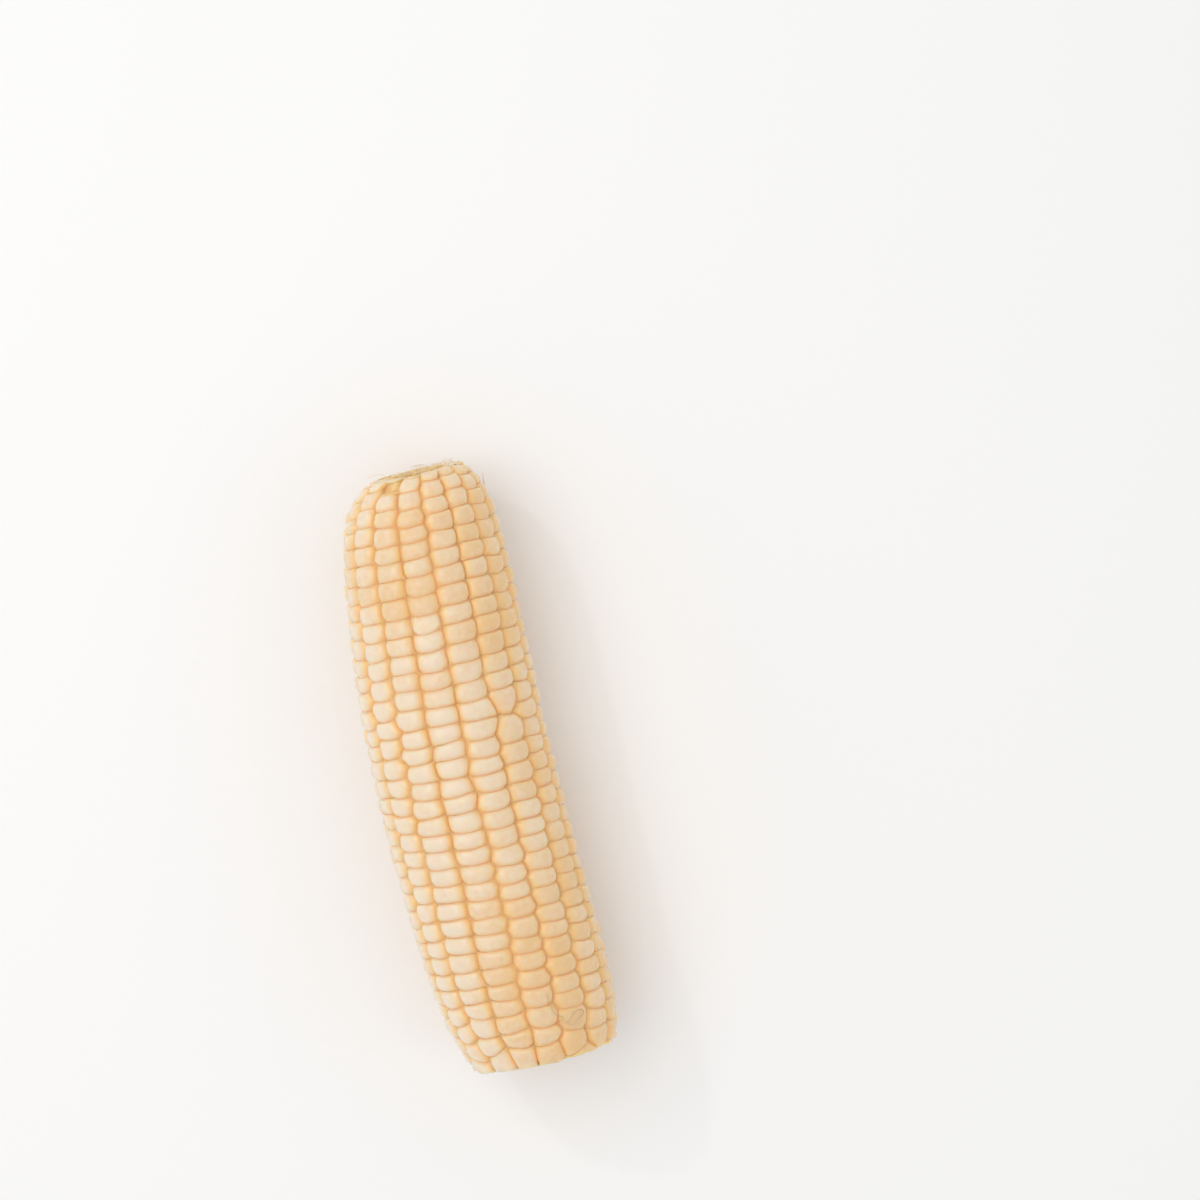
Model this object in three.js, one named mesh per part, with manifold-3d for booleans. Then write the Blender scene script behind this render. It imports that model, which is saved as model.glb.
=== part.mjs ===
// An ear of white waxy corn: husked, trimmed flat at both ends and lying on its side.
//
// Frame: millimetres, +Z up. The ear's long axis runs along Y, with its tip at +Y. The origin is at the
// centre of the bounding box's underside, so the ear rests on the plane z = 0.
//
// The ear grew as one piece, so it is one solid. Its kernels are raised from the ear's surface by a
// formula: seed points stand in rows along the ear, each kernel is the Voronoi cell round its seed on
// the unrolled surface, and each cell is a low dome that drops into a groove along its border.

import * as THREE from "three";
import { mergeVertices } from "three/addons/utils/BufferGeometryUtils.js";
import Module from "manifold-3d";

// ---- Driving dimensions, in millimetres and degrees ----

const EAR_LENGTH = 162; // between the two cuts
const BELLY_RADIUS = 24.9; // over the kernels' crowns, where the ear is fattest
const BOW = 4.1; // how far the middle of the ear bends towards -X
const TIP_LEAN = { offset: 1.6, reach: 3 }; // how far the tip's cut sits off to the +X side

// What the radius loses towards each end: depth x exp(-distance from the cut / reach).
const TIP_TAPER = { depth: 6, reach: 28 };
const TIP_SHOULDER = { depth: 6.3, reach: 4.7 };
const BUTT_TAPER = { depth: 4.8, reach: 11.8 };

const TIP_CUT_TILT = 3.6; // the tip's cut leans back, to face a little upwards
const OVERRUN = 2; // how far the grown surface runs on past each cut, before it is trimmed

const REST_NOD = 0.6; // how far the tip sinks as the ear lies down, which puts its weight over its belly
const FLAT_SPOT_DEPTH = 1.4; // what the flat spot that it rests on takes off the belly's radius

const ROWS = 16; // rows of kernels round the ear
const FIRST_ROW = [ // distance along the ear, from the butt's cut, and the first row's angle from the top there
  [20, -12],
  [30, -10.1],
  [40, -7.3],
  [60, -5],
  [90, -3.2],
  [120, -2],
  [145, -3.4],
];
const ROW_WANDER = 1.1; // degrees that a row strays to each side of its straight line
const KERNEL_PITCH = [ // distance along the ear, from the butt's cut, and a kernel's thickness there
  [0, 5.3],
  [18, 4.7],
  [62, 4.75],
  [112, 5.05],
  [146, 4.9],
  [162, 4.1],
];
const ROW_PITCH_SPREAD = 0.05; // share by which one row's kernels are thicker or thinner than the next's
const JITTER = { along: 0.7, across: 0.35 }; // how far a kernel strays from its place in the row
const BUTT_JUMBLE = { reach: 22, along: 1.2, across: 2.2 }; // the same, where rows break up at the butt
const UNSET_KERNELS = [ // row and distance from the butt's cut of kernels that never set
  [2, 91],
  [6, 38],
  [9, 118],
  [12, 66],
];

const GROOVE_DEPTH = 1.7; // from a kernel's crown down to the border between two kernels
const SHOULDER_DROP = 0.34; // from the crown's middle down to the rim of its flat top
const CROWN_SPREAD = 0.22; // how far one crown stands above or below the next
const TOP_SHARE = { across: 0.8, along: 0.68 }; // the flat top's size against the whole cell
const INTERLOCK = 0.66; // squeeze of the unrolled surface that makes staggered rows zigzag into each other

const RANDOM_SEED = 47501068;
const KERNEL_COLOUR = 0xecd3a8;

// ---- Small helpers ----

// A 32-bit linear congruential generator: numbers from 0 to 1, the same on every run.
function makeRandom(seed) {
  let state = seed >>> 0;
  return () => {
    state = (Math.imul(state, 1664525) + 1013904223) >>> 0;
    return state / 4294967296;
  };
}

const random = makeRandom(RANDOM_SEED);
const either = (reach) => (2 * random() - 1) * reach;
const radians = (degrees) => (degrees * Math.PI) / 180;

// Straight-line interpolation in a list of [x, value] pairs, level past its ends.
function along(table, x) {
  const next = table.findIndex(([at]) => at > x);
  if (next === 0) return table[0][1];
  if (next < 0) return table[table.length - 1][1];
  const [x0, v0] = table[next - 1];
  const [x1, v1] = table[next];
  return v0 + ((v1 - v0) * (x - x0)) / (x1 - x0);
}

// ---- The ear's surface ----

// Radius over the crowns at a distance y from the butt's cut.
function earRadius(y) {
  const fromTip = EAR_LENGTH - y;
  return (
    BELLY_RADIUS -
    TIP_TAPER.depth * Math.exp(-fromTip / TIP_TAPER.reach) -
    TIP_SHOULDER.depth * Math.exp(-fromTip / TIP_SHOULDER.reach) -
    BUTT_TAPER.depth * Math.exp(-y / BUTT_TAPER.reach)
  );
}

// How far the centre line strays in x at a distance y from the butt's cut.
function centreLine(y) {
  const lean = TIP_LEAN.offset * Math.exp((y - EAR_LENGTH) / TIP_LEAN.reach);
  return lean - BOW * Math.sin((Math.PI * y) / EAR_LENGTH);
}

// The profile, as y and radius at even steps of arc length from the butt's end.
const PROFILE_STEP = 0.1;

function makeProfile() {
  const steps = [];
  let y = -OVERRUN;
  while (y <= EAR_LENGTH + OVERRUN) {
    steps.push({ y, r: earRadius(y) });
    const slope = (earRadius(y + PROFILE_STEP) - earRadius(y)) / PROFILE_STEP;
    y += PROFILE_STEP / Math.hypot(1, slope);
  }
  return steps;
}

const profile = makeProfile();
const ARC_END = (profile.length - 1) * PROFILE_STEP;

// The surface point at an arc length and an angle from the top, raised by height along the normal.
function surfacePoint(arc, angle, height) {
  const place = Math.min(arc / PROFILE_STEP, profile.length - 1.001);
  const a = profile[Math.floor(place)];
  const b = profile[Math.floor(place) + 1];
  const share = place - Math.floor(place);
  const dy = (b.y - a.y) / PROFILE_STEP;
  const dr = (b.r - a.r) / PROFILE_STEP;
  const y = a.y + (b.y - a.y) * share;
  const r = a.r + (b.r - a.r) * share + height * dy;
  return new THREE.Vector3(
    r * Math.sin(angle) + centreLine(y),
    y - height * dr,
    r * Math.cos(angle),
  );
}

// ---- Where the kernels stand ----

// The unrolled surface: x runs round the ear and y along its arc, both in millimetres.
const ROUND = 2 * Math.PI * BELLY_RADIUS;
const ROW_WIDTH = ROUND / ROWS;

function plantKernels() {
  const seeds = [];
  for (let row = 0; row < ROWS; row++) {
    const rowPitch = 1 + either(ROW_PITCH_SPREAD);
    const wanderPhase = random() * 2 * Math.PI;
    let arc = -random() * KERNEL_PITCH[0][1];
    while (arc < ARC_END) {
      const y = profile[Math.max(0, Math.round(arc / PROFILE_STEP))].y;
      const pitch = along(KERNEL_PITCH, y) * rowPitch;
      const jumble = Math.max(0, 1 - y / BUTT_JUMBLE.reach);
      const wander = ROW_WANDER * Math.sin(wanderPhase + (2 * Math.PI * y) / EAR_LENGTH);
      const turn = (along(FIRST_ROW, y) + wander) / 360;
      const seed = {
        x: row * ROW_WIDTH + turn * ROUND + either(JITTER.across + jumble * BUTT_JUMBLE.across),
        y: arc + either(JITTER.along + jumble * BUTT_JUMBLE.along),
      };
      const isUnset = UNSET_KERNELS.some(([inRow, at]) => inRow === row && Math.abs(at - y) < pitch / 2);
      if (!isUnset && seed.y > 0 && seed.y < ARC_END) seeds.push(seed);
      arc += pitch;
    }
  }
  return seeds;
}

// Keeps the part of a convex outline where x * nx + y * ny <= limit. Each corner carries the name of the
// border that starts there, and the new border is named after the neighbour behind it.
function clip(outline, nx, ny, limit, neighbour) {
  const kept = [];
  outline.forEach((a, k) => {
    const b = outline[(k + 1) % outline.length];
    const da = a.x * nx + a.y * ny - limit;
    const db = b.x * nx + b.y * ny - limit;
    if (da <= 0) kept.push(a);
    if (da <= 0 !== db <= 0) {
      const share = da / (da - db);
      kept.push({
        x: a.x + (b.x - a.x) * share,
        y: a.y + (b.y - a.y) * share,
        border: da <= 0 ? neighbour : a.border,
      });
    }
  });
  return kept;
}

// The Voronoi cell of one seed, as an anticlockwise outline about that seed. x is squeezed by INTERLOCK
// while distances are compared. The outline's ends are named -1 at the butt and -2 at the tip.
function cellOutline(seeds, own) {
  const here = seeds[own];
  const reach = 2.5 * ROW_WIDTH;
  let outline = [
    { x: -reach, y: -here.y, border: -1 },
    { x: reach, y: -here.y, border: -3 },
    { x: reach, y: ARC_END - here.y, border: -2 },
    { x: -reach, y: ARC_END - here.y, border: -3 },
  ];
  seeds.forEach((other, index) => {
    if (index === own) return;
    let dx = other.x - here.x;
    dx -= ROUND * Math.round(dx / ROUND);
    const dy = other.y - here.y;
    if (Math.abs(dx) > 2 * reach || Math.abs(dy) > reach) return;
    const squeeze = INTERLOCK * INTERLOCK;
    const limit = (dx * dx * squeeze + dy * dy) / 2;
    outline = clip(outline, dx * squeeze, dy, limit, index);
  });
  return outline;
}

// ---- The grown ear: one closed surface of all the cells ----

function growEar() {
  const seeds = plantKernels();
  const points = [];
  const faces = [];
  const corners = new Map(); // a border corner, by the three cells or ends that meet there
  const add = (arc, x, height) => {
    points.push(surfacePoint(arc, (2 * Math.PI * x) / ROUND, height));
    return points.length - 1;
  };
  const buttMiddle = add(0, 0, 0);
  const tipMiddle = add(ARC_END, 0, 0);
  points[buttMiddle].set(centreLine(-OVERRUN), points[buttMiddle].y, 0);
  points[tipMiddle].set(centreLine(EAR_LENGTH + OVERRUN), points[tipMiddle].y, 0);

  seeds.forEach((seed, own) => {
    const outline = cellOutline(seeds, own);
    const middle = {
      x: outline.reduce((sum, p) => sum + p.x, 0) / outline.length,
      y: outline.reduce((sum, p) => sum + p.y, 0) / outline.length,
    };
    const rise = either(CROWN_SPREAD);
    const crown = add(seed.y + middle.y, seed.x + middle.x, rise);
    const border = outline.map((p, k) => {
      const before = outline[(k + outline.length - 1) % outline.length].border;
      const key = [own, before, p.border].sort((a, b) => a - b).join(" ");
      if (!corners.has(key)) corners.set(key, add(seed.y + p.y, seed.x + p.x, -GROOVE_DEPTH));
      return corners.get(key);
    });
    const rim = outline.map((p) =>
      add(
        seed.y + middle.y + (p.y - middle.y) * TOP_SHARE.along,
        seed.x + middle.x + (p.x - middle.x) * TOP_SHARE.across,
        rise - SHOULDER_DROP,
      ),
    );
    outline.forEach((p, k) => {
      const next = (k + 1) % outline.length;
      faces.push([crown, rim[k], rim[next]]);
      faces.push([rim[k], border[k], border[next]]);
      faces.push([rim[k], border[next], rim[next]]);
      if (p.border === -1) faces.push([border[next], border[k], buttMiddle]);
      if (p.border === -2) faces.push([border[next], border[k], tipMiddle]);
    });
  });

  const geometry = new THREE.BufferGeometry();
  geometry.setAttribute("position", new THREE.Float32BufferAttribute(points.flatMap((p) => p.toArray()), 3));
  geometry.setIndex(faces.flat());
  return geometry;
}

// ---- Trimming: both ends cut off, and the flat spot underneath ----

const wasm = await Module();
wasm.setup();

function toSolid(geometry) {
  const bare = geometry.clone();
  bare.deleteAttribute("normal");
  bare.deleteAttribute("uv");
  const merged = mergeVertices(bare, 1e-5);
  return new wasm.Manifold(
    new wasm.Mesh({
      numProp: 3,
      vertProperties: new Float32Array(merged.attributes.position.array),
      triVerts: new Uint32Array(merged.index.array),
    }),
  );
}

function toGeometry(solid) {
  const mesh = solid.getMesh();
  const geometry = new THREE.BufferGeometry();
  geometry.setAttribute("position", new THREE.Float32BufferAttribute(mesh.vertProperties, 3));
  geometry.setIndex(new THREE.BufferAttribute(mesh.triVerts, 1));
  return geometry;
}

const BLOCK = 2 * EAR_LENGTH; // the size of the blocks that trim the ear

// Everything past the butt's cut, which is square to the ear.
function pastButt() {
  const block = new THREE.BoxGeometry(BLOCK, BLOCK, BLOCK);
  block.translate(0, -BLOCK / 2, 0);
  return block;
}

// Everything past the tip's cut, which leans back about its middle.
function pastTip() {
  const block = new THREE.BoxGeometry(BLOCK, BLOCK, BLOCK);
  block.translate(0, BLOCK / 2, 0);
  block.rotateX(radians(TIP_CUT_TILT));
  block.translate(0, EAR_LENGTH, 0);
  return block;
}

// Everything below the flat spot.
function underEar() {
  const block = new THREE.BoxGeometry(BLOCK, BLOCK, BLOCK);
  block.translate(0, 0, -BLOCK / 2 - (BELLY_RADIUS - FLAT_SPOT_DEPTH));
  return block;
}

const trimmedEar = toSolid(growEar()).subtract(toSolid(pastButt())).subtract(toSolid(pastTip()));
const laidEar = toGeometry(trimmedEar);
laidEar.translate(0, -EAR_LENGTH / 2, 0);
laidEar.rotateX(-radians(REST_NOD));

const earGeometry = toGeometry(toSolid(laidEar).subtract(toSolid(underEar())));
earGeometry.computeBoundingBox();
const box = earGeometry.boundingBox;
earGeometry.translate(-(box.min.x + box.max.x) / 2, -(box.min.y + box.max.y) / 2, -box.min.z);

// ---- The part ----

const kernelMaterial = new THREE.MeshStandardMaterial({ color: KERNEL_COLOUR, roughness: 0.42, metalness: 0 });

const earMesh = new THREE.Mesh(earGeometry, kernelMaterial);
earMesh.name = "corn_ear";

const cornCob = new THREE.Group();
cornCob.add(earMesh);

export default cornCob;
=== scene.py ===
"""An ear of white waxy corn: husked, trimmed at both ends and lying on its side."""

import math
from functools import partial

import bmesh
import bpy
from bpy.props import FloatProperty, FloatVectorProperty, PointerProperty
from bpy.types import Operator, Panel, PropertyGroup
from mathutils import Matrix, Vector, noise
from mathutils.bvhtree import BVHTree


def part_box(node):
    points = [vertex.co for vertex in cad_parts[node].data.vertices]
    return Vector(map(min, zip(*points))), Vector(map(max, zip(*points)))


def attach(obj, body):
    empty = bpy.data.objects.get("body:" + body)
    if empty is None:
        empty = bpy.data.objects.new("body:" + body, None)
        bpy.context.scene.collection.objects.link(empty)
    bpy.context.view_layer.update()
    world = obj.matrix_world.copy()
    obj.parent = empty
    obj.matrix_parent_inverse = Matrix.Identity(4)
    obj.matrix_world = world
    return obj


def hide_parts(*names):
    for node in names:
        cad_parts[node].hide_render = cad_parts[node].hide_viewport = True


bl_info = {
    "name": "Corn Cob",
    "version": (1, 0, 0),
    "blender": (4, 5, 0),
    "location": "View3D > Sidebar > Corn",
    "description": "Grows a husked ear of waxy corn, with its kernels, cut ends and silk",
    "category": "Object",
}

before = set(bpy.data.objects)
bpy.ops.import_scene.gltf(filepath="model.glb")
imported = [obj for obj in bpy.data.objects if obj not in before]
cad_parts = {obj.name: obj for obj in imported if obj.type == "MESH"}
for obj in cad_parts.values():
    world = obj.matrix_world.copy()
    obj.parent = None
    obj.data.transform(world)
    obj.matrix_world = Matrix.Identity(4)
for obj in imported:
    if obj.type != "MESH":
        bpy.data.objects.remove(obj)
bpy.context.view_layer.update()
EAR_NODE = "corn_ear"
EAR_PIECE = "corn_ear_kernels"
EAR_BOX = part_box(EAR_NODE)

MM = 0.001

# ---- What a user would change ----


def linear(colour):
    """An sRGB hex colour, such as #EFD9B4, as linear red, green, blue and alpha."""
    parts = [int(colour[k:k + 2], 16) / 255 for k in (1, 3, 5)]
    return (*[c / 12.92 if c <= 0.04045 else ((c + 0.055) / 1.055) ** 2.4 for c in parts], 1.0)


def size(name, description, millimetres):
    """A length that a user can change."""
    return FloatProperty(
        name=name, description=description, default=millimetres * MM, min=0.0, precision=5, unit="LENGTH"
    )


def colour(name, description, default):
    """A colour that a user can change."""
    return FloatVectorProperty(
        name=name, description=description, default=linear(default),
        size=4, min=0.0, max=1.0, subtype="COLOR",
    )


class CORN_PG_kernels(PropertyGroup):
    """Sizes and colours of the kernels."""

    row_groove: size("Row groove", "Depth of the tight groove between two rows", 0.52)
    row_shoulder: size("Row shoulder", "How far a kernel rounds off towards the next row", 0.92)
    kernel_groove: size("Kernel groove", "Depth of the tight groove between two kernels of a row", 0.32)
    kernel_shoulder: size("Kernel shoulder", "How far a kernel rounds off towards the next in its row", 0.5)
    corner_pit: size("Corner pit", "Depth of the pit where three kernels meet", 1.75)
    corner_radius: size("Corner radius", "Radius of the corners of a kernel's outline", 1.65)
    crown_dome: size("Crown dome", "How high a crown is domed", 0.2)
    # Both crown colours are the kernels' own tones, and they are also mixed by side: painted haze towards
    # -x, painted shade towards +x.
    crown_pale_and_painted_haze: colour("Pale crown", "Milky cream of a thick crown", "#F1DFC8")
    crown_gold_and_painted_shade: colour("Gold crown", "Pale gold of a riper crown", "#ECC896")
    # The shoulder gold is partly painted glow; both groove oranges are painted shade and glow, laid on by
    # how far the skin has sunk.
    shoulder: colour("Shoulder", "Gold where the starch thins", "#F3D1A0")
    groove: colour("Groove", "Orange of the light that sinks between kernels", "#FFCE8E")
    deep_groove_painted_shade: colour("Deep groove", "Orange at the bottom of the grooves", "#FFCD8E")
    torn_starch: colour("Torn starch", "Chalky starch of the torn kernel", "#F7DFC2")


class CORN_PG_cuts(PropertyGroup):
    """Colours of the two cut faces."""

    pith: colour("Pith", "Spongy white middle of the cob", "#F6E1C4")
    wood: colour("Woody ring", "Tan ring of bundles round the pith", "#EBC288")
    chaff: colour("Chaff", "Ragged tan husks under the kernels", "#E2B074")
    shoulder: colour("Kernel foot", "Gold foot of a kernel", "#EBC188")
    flesh: colour("Kernel flesh", "Milky flesh of a kernel", "#F7DEBA")
    skin: colour("Kernel skin", "Golden skin of a kernel, seen edge on", "#EFC58A")


class CORN_PG_silk(PropertyGroup):
    """Size and colours of the silk."""

    thread: size("Thread", "Thickness of a silk thread", 0.22)
    hair: size("Hair", "Thickness of the fine hairs at the tip's cut", 0.09)
    hair_length: size("Hair length", "Length of the hairs at the tip's cut", 3.2)
    silk_pale: colour("Pale silk", "Pale stretches of a thread", "#EBD2A8")
    silk_brown: colour("Brown silk", "Brown stretches of a thread", "#C9A06C")


class CORN_PG_stage(PropertyGroup):
    """Floor and light."""

    key_power: FloatProperty(
        name="Key light", description="Power of the large soft light", default=2.8, min=0.0, unit="POWER"
    )
    room_light: FloatProperty(
        name="Room light", description="Brightness of the white room", default=0.74, min=0.0
    )
    floor: colour("Floor", "Colour of the floor", "#FCFCFC")


# ---- How the ear grows, in millimetres and degrees: the same rule and draw as its solid ----

EAR_LENGTH = 162.0
BELLY_RADIUS = 24.9
BOW = 4.1
TIP_LEAN = (1.6, 3.0)  # offset, reach
TIP_TAPER = (6.0, 28.0)  # depth, reach
TIP_SHOULDER = (6.3, 4.7)
BUTT_TAPER = (4.8, 11.8)
TIP_CUT_TILT = 3.6
OVERRUN = 2.0
REST_NOD = 0.6
FLAT_SPOT_DEPTH = 1.4

ROWS = 16
FIRST_ROW = (  # distance from the butt's cut, and the first row's angle from the top
    (20.0, -12.0), (30.0, -10.1), (40.0, -7.3), (60.0, -5.0), (90.0, -3.2), (120.0, -2.0), (145.0, -3.4),
)
ROW_WANDER = 1.1
KERNEL_PITCH = ((0.0, 5.3), (18.0, 4.7), (62.0, 4.75), (112.0, 5.05), (146.0, 4.9), (162.0, 4.1))
ROW_PITCH_SPREAD = 0.05
JITTER = (0.7, 0.35)  # along, across
BUTT_JUMBLE = (22.0, 1.2, 2.2)  # reach, along, across
UNSET_KERNELS = ((2, 91.0), (6, 38.0), (9, 118.0), (12, 66.0))  # row, distance from the butt's cut
CROWN_SPREAD = 0.22
INTERLOCK = 0.66
GROWTH_SEED = 47501068

# ---- The fine shape of the kernels ----

DETAIL_SEED = 915
SAME_CORNER = 0.3  # corners closer than this are one
CORNER_STEPS = (0.45, 1.3)  # from both corners of a border, where it is divided
BORDER_STEP = 2.4  # the longest step between
RING_DEPTHS = (0.1, 0.3)  # the first rings' distances from the border
RING_SHARE = 0.25  # the most that each first ring takes of the room
INNER_RINGS = 3
LEAST_ROOM = 0.3  # the room inside a border counts as at least this
ROOM_SMOOTHING = 5  # passes that even out how far a kernel's rings lie apart
# A kernel falls away to its border over a round shoulder, then into a tight groove. Their widths:
ROW_WIDTHS = (0.24, 3.2)  # beside the next row
KERNEL_WIDTHS = (0.16, 2.0)  # beside the next kernel of its own row
# How wide the groove after each row is.
ROW_GAPS = (0.9, 0.8, 1.1, 1.4, 0.8, 1.0, 1.5, 0.9, 1.1, 0.8, 1.3, 1.0, 0.8, 1.2, 1.0, 1.7)
CORNER_REACH = 0.55  # how far along a border the pit at its corner reaches
SHOULDER_BLEND = 1.15  # how two shoulders meet at a corner: high keeps them apart
LIFT_REACH = 0.8  # from the border to where a kernel stands at its own height
CREASE_ARCH = 0.34  # how far a crease arches between two kernels of one row
BORDER_WOBBLE = 0.16
STRAY_LENGTH = 4.0  # a border this long strays in full
DOME_FLATNESS = 4  # high keeps the middle of a crown flat
CROWN_TILT = 0.035  # slope
TORN_KERNEL = (0, 124.5)  # row and arc length of the one whose skin is torn off
TORN_REACH = 2.5  # how near that arc length the kernel's seed is
BROKEN_KERNELS = (15, 163.0)  # row, and arc length from which its kernels are broken off
BROKEN_DEPTH = 1.9
TORN, BROKEN = -1.0, -2.0  # the tones that mark them
PLAIN_TONE = 0.5
DIMPLED_SHARE = 0.06
DIMPLE_DEPTH = 0.28
DIMPLE_SPREAD = (3.2, 1.2)  # square of its reach, across a kernel and along the ear
SQUARE_REACH = (2.0, 9.0)  # from the tip's cut, where kernels stand out square to the axis
BUTT_END, TIP_END, NO_BORDER = -1, -2, -3  # borders that no second kernel shares
TINY = 1e-6  # no border counts as shorter


def make_random(seed):
    """A 32-bit linear congruential generator: numbers from 0 to 1, the same on every run."""
    state = seed

    def draw():
        nonlocal state
        state = (state * 1664525 + 1013904223) & 0xFFFFFFFF
        return state / 4294967296

    return draw


def either(draw, reach):
    """A number drawn between -reach and reach."""
    return (2 * draw() - 1) * reach


def between(table, x):
    """Straight-line interpolation in (x, value) pairs, level past the ends."""
    if x <= table[0][0]:
        return table[0][1]
    for (x0, v0), (x1, v1) in zip(table, table[1:]):
        if x < x1:
            return v0 + (v1 - v0) * (x - x0) / (x1 - x0)
    return table[-1][1]


def smooth(edge0, edge1, x):
    """A smooth step from 0 at edge0 to 1 at edge1."""
    t = min(1.0, max(0.0, (x - edge0) / (edge1 - edge0)))
    return t * t * (3 - 2 * t)


# ---- The ear's surface ----


def ear_radius(y):
    """Radius over the crowns at a distance y from the butt's cut."""
    from_tip = EAR_LENGTH - y
    return (
        BELLY_RADIUS
        - TIP_TAPER[0] * math.exp(-from_tip / TIP_TAPER[1])
        - TIP_SHOULDER[0] * math.exp(-from_tip / TIP_SHOULDER[1])
        - BUTT_TAPER[0] * math.exp(-y / BUTT_TAPER[1])
    )


def centre_line(y):
    """How far the centre line strays in x at a distance y from the butt's cut."""
    lean = TIP_LEAN[0] * math.exp((y - EAR_LENGTH) / TIP_LEAN[1])
    return lean - BOW * math.sin(math.pi * y / EAR_LENGTH)


PROFILE_STEP = 0.1


def make_profile():
    """The profile, as (y, radius) at even steps of arc length from the butt's end."""
    steps = []
    y = -OVERRUN
    while y <= EAR_LENGTH + OVERRUN:
        steps.append((y, ear_radius(y)))
        slope = (ear_radius(y + PROFILE_STEP) - ear_radius(y)) / PROFILE_STEP
        y += PROFILE_STEP / math.hypot(1, slope)
    return steps


PROFILE = make_profile()
ARC_END = (len(PROFILE) - 1) * PROFILE_STEP
ROUND = 2 * math.pi * BELLY_RADIUS
ROW_WIDTH = ROUND / ROWS


def surface_point(arc, x, height):
    """The point at an arc length and a distance x round the unrolled ear, raised by height."""
    place = min(max(arc, 0.0) / PROFILE_STEP, len(PROFILE) - 1.001)
    step = int(place)
    share = place - step
    y0, r0 = PROFILE[step]
    y1, r1 = PROFILE[step + 1]
    y = y0 + (y1 - y0) * share
    dr = (r1 - r0) / PROFILE_STEP * smooth(*SQUARE_REACH, EAR_LENGTH - y)
    dy = math.sqrt(1 - dr * dr)
    r = r0 + (r1 - r0) * share + height * dy
    angle = 2 * math.pi * x / ROUND
    return (r * math.sin(angle) + centre_line(y), y - height * dr, r * math.cos(angle))


# ---- Where the kernels stand ----


class Kernel:
    """One kernel: its seed point, its row, and its outline about that seed on the unrolled ear."""

    def __init__(self, x, y, row):
        self.x, self.y, self.row = x, y, row
        self.outline = []  # (x, y, name of the border that starts here)
        self.middle = (0.0, 0.0)


def plant_kernels(draw):
    """Seeds in rows along the ear, each a little out of its place."""
    kernels = []
    for row in range(ROWS):
        row_pitch = 1 + either(draw, ROW_PITCH_SPREAD)
        wander_phase = draw() * 2 * math.pi
        arc = -draw() * KERNEL_PITCH[0][1]
        while arc < ARC_END:
            y = PROFILE[max(0, math.floor(arc / PROFILE_STEP + 0.5))][0]
            pitch = between(KERNEL_PITCH, y) * row_pitch
            jumble = max(0.0, 1 - y / BUTT_JUMBLE[0])
            wander = ROW_WANDER * math.sin(wander_phase + 2 * math.pi * y / EAR_LENGTH)
            turn = (between(FIRST_ROW, y) + wander) / 360
            x = row * ROW_WIDTH + turn * ROUND + either(draw, JITTER[1] + jumble * BUTT_JUMBLE[2])
            along = arc + either(draw, JITTER[0] + jumble * BUTT_JUMBLE[1])
            is_unset = any(unset == row and abs(at - y) < pitch / 2 for unset, at in UNSET_KERNELS)
            if not is_unset and 0 < along < ARC_END:
                kernels.append(Kernel(x, along, row))
            arc += pitch
    return kernels


def clip(outline, nx, ny, limit, neighbour):
    """Keeps the part of a convex outline where x * nx + y * ny <= limit."""
    kept = []
    for k, (ax, ay, border) in enumerate(outline):
        bx, by, _ = outline[(k + 1) % len(outline)]
        da = ax * nx + ay * ny - limit
        db = bx * nx + by * ny - limit
        if da <= 0:
            kept.append((ax, ay, border))
        if (da <= 0) != (db <= 0):
            share = da / (da - db)
            kept.append((ax + (bx - ax) * share, ay + (by - ay) * share, neighbour if da <= 0 else border))
    return kept


def outline_kernels(kernels):
    """Gives every kernel its Voronoi cell. x is squeezed by INTERLOCK while distances are compared."""
    reach = 2.5 * ROW_WIDTH
    squeeze = INTERLOCK * INTERLOCK
    for own, here in enumerate(kernels):
        outline = [
            (-reach, -here.y, BUTT_END),
            (reach, -here.y, NO_BORDER),
            (reach, ARC_END - here.y, TIP_END),
            (-reach, ARC_END - here.y, NO_BORDER),
        ]
        for index, other in enumerate(kernels):
            dy = other.y - here.y
            if index == own or abs(dy) > reach:
                continue
            dx = other.x - here.x
            dx -= ROUND * math.floor(dx / ROUND + 0.5)
            if abs(dx) <= 2 * reach:
                outline = clip(outline, dx * squeeze, dy, (dx * dx * squeeze + dy * dy) / 2, index)
        here.outline = outline
        here.middle = tuple(sum(p[axis] for p in outline) / len(outline) for axis in (0, 1))


# ---- The skin of kernels ----


def border_shares(length):
    """Where a border of this length is divided, as shares of it: closely by its corners."""
    ends = [step for step in CORNER_STEPS if step < length / 3]
    first = ends[-1] if ends else 0.0
    count = max(1, math.floor((length - 2 * first) / BORDER_STEP + 0.5))
    between_ends = [first + (length - 2 * first) * k / count for k in range(1, count)]
    places = [*ends, *between_ends, *(length - step for step in reversed(ends))]
    return [place / length for place in places]


class Sizes:
    """What the user sets, in millimetres."""

    def __init__(self, shape):
        for name in (
            "row_groove", "row_shoulder", "kernel_groove", "kernel_shoulder",
            "corner_pit", "corner_radius", "crown_dome",
        ):
            setattr(self, name, getattr(shape, name) / MM)

    def groove_between(self, kernel, neighbour, name):
        """Depth and width of a border's groove, then of its shoulder. Past the ends, name is negative."""
        if name < 0 or kernel.row == neighbour.row:
            return self.kernel_groove, KERNEL_WIDTHS[0], self.kernel_shoulder, KERNEL_WIDTHS[1]
        gap = ROW_GAPS[kernel.row if (kernel.row + 1) % ROWS == neighbour.row else neighbour.row]
        return self.row_groove * gap ** 0.5, ROW_WIDTHS[0] * gap, self.row_shoulder, ROW_WIDTHS[1]


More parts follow.
